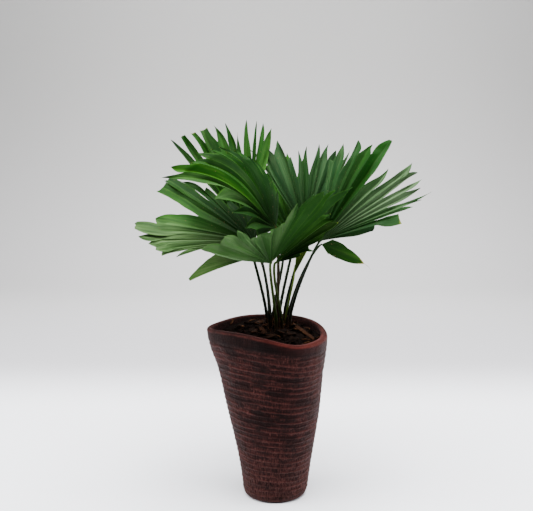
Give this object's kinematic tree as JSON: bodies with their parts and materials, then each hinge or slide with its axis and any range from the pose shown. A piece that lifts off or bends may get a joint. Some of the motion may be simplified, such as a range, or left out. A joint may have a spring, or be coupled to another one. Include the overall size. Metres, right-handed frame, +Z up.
{
  "type": "potted fan palm",
  "caption": "Young fan palm with pleated, split leaves on thin spiny stems, in a tall tapered clay pot with ribbed walls, a drop-shaped rim and bark mulch.",
  "frame": {"origin": "centre of the pot's flat foot, on the surface it stands on", "axes": "+Z up through the pot, +X to the right of the plant's best side, +Y towards its back"},
  "size_m": [0.5182, 0.4716, 0.6539],
  "materials": {
    "clay": "matte",
    "soil": "matte",
    "bark": "matte",
    "leaf_green": "satin",
    "leaf_bright": "satin",
    "leaf_dark": "satin",
    "leaf_blue": "satin",
    "leaf_spear": "satin"
  },
  "bodies": {
    "root": {"pot": "clay", "soil": "soil", "bark_mulch": "bark", "frond_upper_left": "leaf_green", "frond_back_right": "leaf_blue", "frond_right": "leaf_blue", "frond_centre_left": "leaf_bright", "frond_left": "leaf_green", "frond_front": "leaf_bright", "frond_front_right": "leaf_dark", "frond_low_left": "leaf_dark", "frond_low_right": "leaf_dark", "frond_back": "leaf_green", "frond_back_low": "leaf_green", "spear_leaf": "leaf_spear"}
  },
  "joints": []
}
